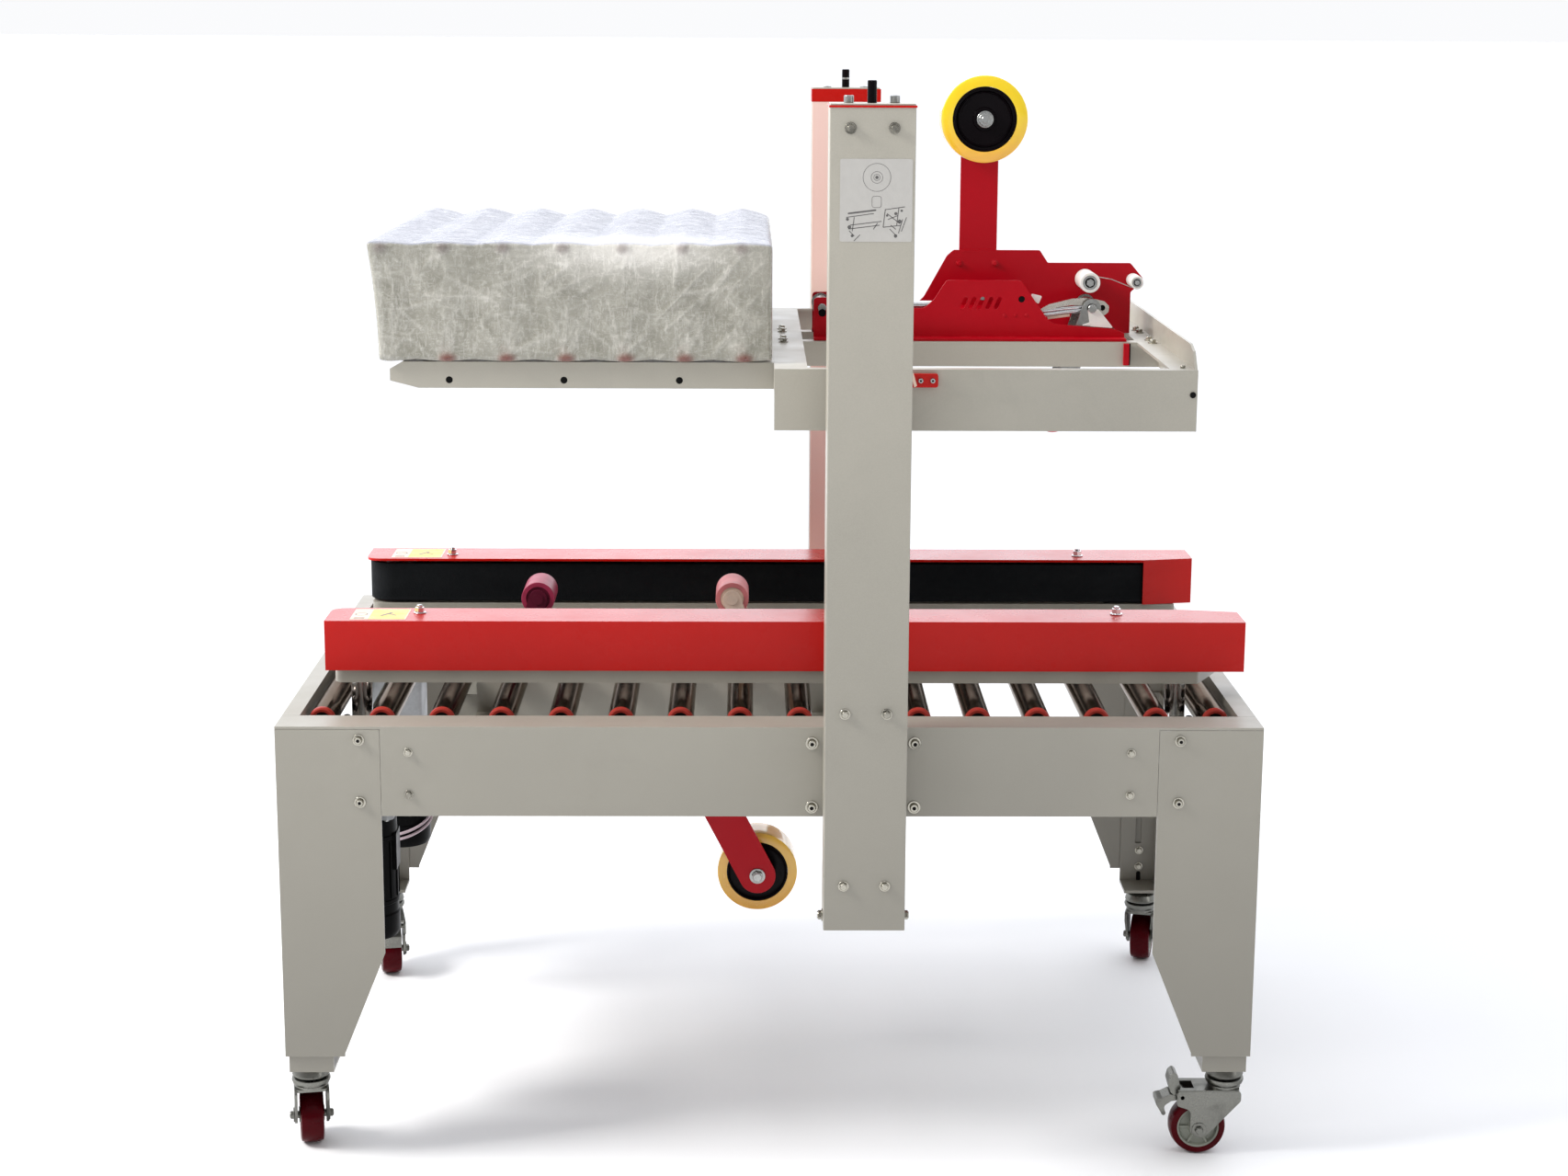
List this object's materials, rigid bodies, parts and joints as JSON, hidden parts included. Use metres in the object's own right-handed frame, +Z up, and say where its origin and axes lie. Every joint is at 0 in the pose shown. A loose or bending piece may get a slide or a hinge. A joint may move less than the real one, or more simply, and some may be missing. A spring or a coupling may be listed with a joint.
{
  "type": "carton sealer machine",
  "caption": "Semi-automatic carton sealer: roller table on castors with side drive belts, a lower tape head, and an upper tape head on a carriage that rises on columns.",
  "frame": {"origin": "on the floor, under the middle of the machine", "axes": "+X towards the infeed end, +Y towards the far column, +Z up"},
  "size_m": [1.1023, 0.832, 1.213],
  "materials": {
    "grey_paint": "satin",
    "red_paint": "satin",
    "head_red": "satin",
    "zinc": "bright",
    "bright_steel": "polished",
    "red_tread": "satin",
    "roller_rubber": "matte",
    "tape": "gloss",
    "stretch_film": "gloss",
    "belt_rubber": "matte"
  },
  "bodies": {
    "frame": {"front_side_beam": "grey_paint", "rear_side_beam": "grey_paint", "outfeed_end_frame": "grey_paint", "infeed_end_frame": "grey_paint", "head_well": "grey_paint", "front_column": "grey_paint", "rear_column": "grey_paint", "lower_head_frame": "head_red"},
    "front_left_inner_leg": {"front_left_inner_leg": "grey_paint"},
    "front_left_castor_fork": {"front_left_castor_fork": "zinc"},
    "front_left_castor_wheel": {"front_left_castor_wheel": "red_tread"},
    "front_right_inner_leg": {"front_right_inner_leg": "grey_paint"},
    "front_right_castor_fork": {"front_right_castor_fork": "zinc"},
    "front_right_castor_wheel": {"front_right_castor_wheel": "red_tread"},
    "rear_left_inner_leg": {"rear_left_inner_leg": "grey_paint"},
    "rear_left_castor_fork": {"rear_left_castor_fork": "zinc"},
    "rear_left_castor_wheel": {"rear_left_castor_wheel": "red_tread"},
    "rear_right_inner_leg": {"rear_right_inner_leg": "grey_paint"},
    "rear_right_castor_fork": {"rear_right_castor_fork": "zinc"},
    "rear_right_castor_wheel": {"rear_right_castor_wheel": "red_tread"},
    "front_right_brake_pedal": {"front_right_brake_pedal": "zinc"},
    "roller_01": {"roller_01": "bright_steel"},
    "roller_02": {"roller_02": "bright_steel"},
    "roller_03": {"roller_03": "bright_steel"},
    "front_roller_04": {"front_roller_04": "bright_steel"},
    "rear_roller_04": {"rear_roller_04": "bright_steel"},
    "front_roller_05": {"front_roller_05": "bright_steel"},
    "rear_roller_05": {"rear_roller_05": "bright_steel"},
    "front_roller_06": {"front_roller_06": "bright_steel"},
    "rear_roller_06": {"rear_roller_06": "bright_steel"},
    "front_roller_07": {"front_roller_07": "bright_steel"},
    "rear_roller_07": {"rear_roller_07": "bright_steel"},
    "front_roller_08": {"front_roller_08": "bright_steel"},
    "rear_roller_08": {"rear_roller_08": "bright_steel"},
    "front_roller_09": {"front_roller_09": "bright_steel"},
    "rear_roller_09": {"rear_roller_09": "bright_steel"},
    "roller_10": {"roller_10": "bright_steel"},
    "roller_11": {"roller_11": "bright_steel"},
    "roller_12": {"roller_12": "bright_steel"},
    "roller_13": {"roller_13": "bright_steel"},
    "roller_14": {"roller_14": "bright_steel"},
    "roller_15": {"roller_15": "bright_steel"},
    "roller_16": {"roller_16": "bright_steel"},
    "carriage": {"carriage_frame": "grey_paint", "wrapped_roller_tables": "stretch_film", "upper_head_frame": "head_red"},
    "front_lead_screw": {"front_lead_screw": "bright_steel"},
    "rear_lead_screw": {"rear_lead_screw": "bright_steel"},
    "upper_infeed_arm": {"upper_infeed_arm": "roller_rubber"},
    "upper_outfeed_arm": {"upper_outfeed_arm": "roller_rubber"},
    "upper_tape_reel": {"upper_tape_reel": "tape"},
    "lower_infeed_arm": {"lower_infeed_arm": "roller_rubber"},
    "lower_outfeed_arm": {"lower_outfeed_arm": "roller_rubber"},
    "lower_tape_reel": {"lower_tape_reel": "tape"},
    "front_belt_unit": {"front_belt_chassis": "grey_paint", "front_belt_cover": "red_paint", "front_drive_belt": "belt_rubber"},
    "rear_belt_unit": {"rear_belt_chassis": "grey_paint", "rear_belt_cover": "red_paint", "rear_drive_belt": "belt_rubber"}
  },
  "joints": [
    {"name": "front_left_height", "type": "slide", "parent": "frame", "child": "front_left_inner_leg", "axis": [0, 0, -1], "range_m": [0, 0.15]},
    {"name": "front_left_castor_swivel", "type": "hinge", "parent": "front_left_inner_leg", "child": "front_left_castor_fork", "pos_m": [-0.523, -0.314, 0.088], "axis": [0, 0, 1], "continuous": true},
    {"name": "front_left_wheel_spin", "type": "hinge", "parent": "front_left_castor_fork", "child": "front_left_castor_wheel", "pos_m": [-0.52872, -0.28455, 0.0325], "axis": [0.9816, 0.1908, 0], "continuous": true},
    {"name": "front_right_height", "type": "slide", "parent": "frame", "child": "front_right_inner_leg", "axis": [0, 0, -1], "range_m": [0, 0.15]},
    {"name": "front_right_castor_swivel", "type": "hinge", "parent": "front_right_inner_leg", "child": "front_right_castor_fork", "pos_m": [0.523, -0.314, 0.088], "axis": [0, 0, 1], "continuous": true},
    {"name": "front_right_wheel_spin", "type": "hinge", "parent": "front_right_castor_fork", "child": "front_right_castor_wheel", "pos_m": [0.493, -0.314, 0.0325], "axis": [0, 1, 0], "continuous": true},
    {"name": "rear_left_height", "type": "slide", "parent": "frame", "child": "rear_left_inner_leg", "axis": [0, 0, -1], "range_m": [0, 0.15]},
    {"name": "rear_left_castor_swivel", "type": "hinge", "parent": "rear_left_inner_leg", "child": "rear_left_castor_fork", "pos_m": [-0.517, 0.314, 0.088], "axis": [0, 0, 1], "continuous": true},
    {"name": "rear_left_wheel_spin", "type": "hinge", "parent": "rear_left_castor_fork", "child": "rear_left_castor_wheel", "pos_m": [-0.51128, 0.28455, 0.0325], "axis": [0.9816, 0.1908, 0], "continuous": true},
    {"name": "rear_right_height", "type": "slide", "parent": "frame", "child": "rear_right_inner_leg", "axis": [0, 0, -1], "range_m": [0, 0.15]},
    {"name": "rear_right_castor_swivel", "type": "hinge", "parent": "rear_right_inner_leg", "child": "rear_right_castor_fork", "pos_m": [0.517, 0.314, 0.088], "axis": [0, 0, 1], "continuous": true},
    {"name": "rear_right_wheel_spin", "type": "hinge", "parent": "rear_right_castor_fork", "child": "rear_right_castor_wheel", "pos_m": [0.52426, 0.34311, 0.0325], "axis": [0.9703, -0.2419, 0], "continuous": true},
    {"name": "front_right_brake", "type": "hinge", "parent": "front_right_castor_fork", "child": "front_right_brake_pedal", "pos_m": [0.473, -0.314, 0.071], "axis": [0, -1, 0], "range_deg": [0, 9]},
    {"name": "roller_01_spin", "type": "hinge", "parent": "frame", "child": "roller_01", "pos_m": [-0.50625, 0, 0.4967], "axis": [0, 1, 0], "continuous": true},
    {"name": "roller_02_spin", "type": "hinge", "parent": "frame", "child": "roller_02", "pos_m": [-0.43875, 0, 0.4967], "axis": [0, 1, 0], "continuous": true},
    {"name": "roller_03_spin", "type": "hinge", "parent": "frame", "child": "roller_03", "pos_m": [-0.37125, 0, 0.4967], "axis": [0, 1, 0], "continuous": true},
    {"name": "front_roller_04_spin", "type": "hinge", "parent": "frame", "child": "front_roller_04", "pos_m": [-0.30375, -0.18, 0.4967], "axis": [0, 1, 0], "continuous": true},
    {"name": "rear_roller_04_spin", "type": "hinge", "parent": "frame", "child": "rear_roller_04", "pos_m": [-0.30375, 0.18, 0.4967], "axis": [0, 1, 0], "continuous": true},
    {"name": "front_roller_05_spin", "type": "hinge", "parent": "frame", "child": "front_roller_05", "pos_m": [-0.23625, -0.18, 0.4967], "axis": [0, 1, 0], "continuous": true},
    {"name": "rear_roller_05_spin", "type": "hinge", "parent": "frame", "child": "rear_roller_05", "pos_m": [-0.23625, 0.18, 0.4967], "axis": [0, 1, 0], "continuous": true},
    {"name": "front_roller_06_spin", "type": "hinge", "parent": "frame", "child": "front_roller_06", "pos_m": [-0.16875, -0.18, 0.4967], "axis": [0, 1, 0], "continuous": true},
    {"name": "rear_roller_06_spin", "type": "hinge", "parent": "frame", "child": "rear_roller_06", "pos_m": [-0.16875, 0.18, 0.4967], "axis": [0, 1, 0], "continuous": true},
    {"name": "front_roller_07_spin", "type": "hinge", "parent": "frame", "child": "front_roller_07", "pos_m": [-0.10125, -0.18, 0.4967], "axis": [0, 1, 0], "continuous": true},
    {"name": "rear_roller_07_spin", "type": "hinge", "parent": "frame", "child": "rear_roller_07", "pos_m": [-0.10125, 0.18, 0.4967], "axis": [0, 1, 0], "continuous": true},
    {"name": "front_roller_08_spin", "type": "hinge", "parent": "frame", "child": "front_roller_08", "pos_m": [-0.03375, -0.18, 0.4967], "axis": [0, 1, 0], "continuous": true},
    {"name": "rear_roller_08_spin", "type": "hinge", "parent": "frame", "child": "rear_roller_08", "pos_m": [-0.03375, 0.18, 0.4967], "axis": [0, 1, 0], "continuous": true},
    {"name": "front_roller_09_spin", "type": "hinge", "parent": "frame", "child": "front_roller_09", "pos_m": [0.03375, -0.18, 0.4967], "axis": [0, 1, 0], "continuous": true},
    {"name": "rear_roller_09_spin", "type": "hinge", "parent": "frame", "child": "rear_roller_09", "pos_m": [0.03375, 0.18, 0.4967], "axis": [0, 1, 0], "continuous": true},
    {"name": "roller_10_spin", "type": "hinge", "parent": "frame", "child": "roller_10", "pos_m": [0.10125, 0, 0.4967], "axis": [0, 1, 0], "continuous": true},
    {"name": "roller_11_spin", "type": "hinge", "parent": "frame", "child": "roller_11", "pos_m": [0.16875, 0, 0.4967], "axis": [0, 1, 0], "continuous": true},
    {"name": "roller_12_spin", "type": "hinge", "parent": "frame", "child": "roller_12", "pos_m": [0.23625, 0, 0.4967], "axis": [0, 1, 0], "continuous": true},
    {"name": "roller_13_spin", "type": "hinge", "parent": "frame", "child": "roller_13", "pos_m": [0.30375, 0, 0.4967], "axis": [0, 1, 0], "continuous": true},
    {"name": "roller_14_spin", "type": "hinge", "parent": "frame", "child": "roller_14", "pos_m": [0.37125, 0, 0.4967], "axis": [0, 1, 0], "continuous": true},
    {"name": "roller_15_spin", "type": "hinge", "parent": "frame", "child": "roller_15", "pos_m": [0.43875, 0, 0.4967], "axis": [0, 1, 0], "continuous": true},
    {"name": "roller_16_spin", "type": "hinge", "parent": "frame", "child": "roller_16", "pos_m": [0.50625, 0, 0.4967], "axis": [0, 1, 0], "continuous": true},
    {"name": "carriage_lift", "type": "slide", "parent": "frame", "child": "carriage", "axis": [0, 0, 1], "range_m": [-0.225, 0.136]},
    {"name": "front_screw_spin", "type": "hinge", "parent": "frame", "child": "front_lead_screw", "pos_m": [0.1025, -0.3855, 0.75], "axis": [0, 0, 1], "range_deg": [-16220, 9812]},
    {"name": "rear_screw_spin", "type": "hinge", "parent": "frame", "child": "rear_lead_screw", "pos_m": [0.1025, 0.3855, 0.75], "axis": [0, 0, 1], "range_deg": [-16220, 9812]},
    {"name": "upper_infeed_swing", "type": "hinge", "parent": "carriage", "child": "upper_infeed_arm", "pos_m": [0.382, 0, 0.942], "axis": [0, 1, 0], "range_deg": [0, 51], "stiffness_Nm_per_rad": 4, "springref_deg": -28.65},
    {"name": "upper_outfeed_swing", "type": "hinge", "parent": "carriage", "child": "upper_outfeed_arm", "pos_m": [0.062, 0, 0.942], "axis": [0, -1, 0], "range_deg": [0, 51]},
    {"name": "upper_reel_spin", "type": "hinge", "parent": "carriage", "child": "upper_tape_reel", "pos_m": [0.2515, 0, 1.162], "axis": [0, 1, 0], "continuous": true},
    {"name": "lower_infeed_swing", "type": "hinge", "parent": "frame", "child": "lower_infeed_arm", "pos_m": [-0.0015, 0, 0.446], "axis": [0, -1, 0], "range_deg": [0, 51], "stiffness_Nm_per_rad": 4, "springref_deg": -28.65},
    {"name": "lower_outfeed_swing", "type": "hinge", "parent": "frame", "child": "lower_outfeed_arm", "pos_m": [-0.3215, 0, 0.446], "axis": [0, 1, 0], "range_deg": [0, 51]},
    {"name": "lower_reel_spin", "type": "hinge", "parent": "frame", "child": "lower_tape_reel", "pos_m": [-0.0125, 0, 0.2415], "axis": [0, 1, 0], "continuous": true},
    {"name": "front_belt_width", "type": "slide", "parent": "frame", "child": "front_belt_unit", "axis": [0, 1, 0], "range_m": [-0.1, 0.074]},
    {"name": "rear_belt_width", "type": "slide", "parent": "frame", "child": "rear_belt_unit", "axis": [0, -1, 0], "range_m": [-0.1, 0.074]}
  ],
  "couplings": [
    {"joint": "front_screw_spin", "follows": "carriage_lift", "rad_per_m": 1256.6},
    {"joint": "rear_screw_spin", "follows": "carriage_lift", "rad_per_m": 1256.6},
    {"joint": "upper_outfeed_swing", "follows": "upper_infeed_swing", "ratio": 1},
    {"joint": "lower_outfeed_swing", "follows": "lower_infeed_swing", "ratio": 1},
    {"joint": "rear_belt_width", "follows": "front_belt_width", "ratio": 1}
  ]
}
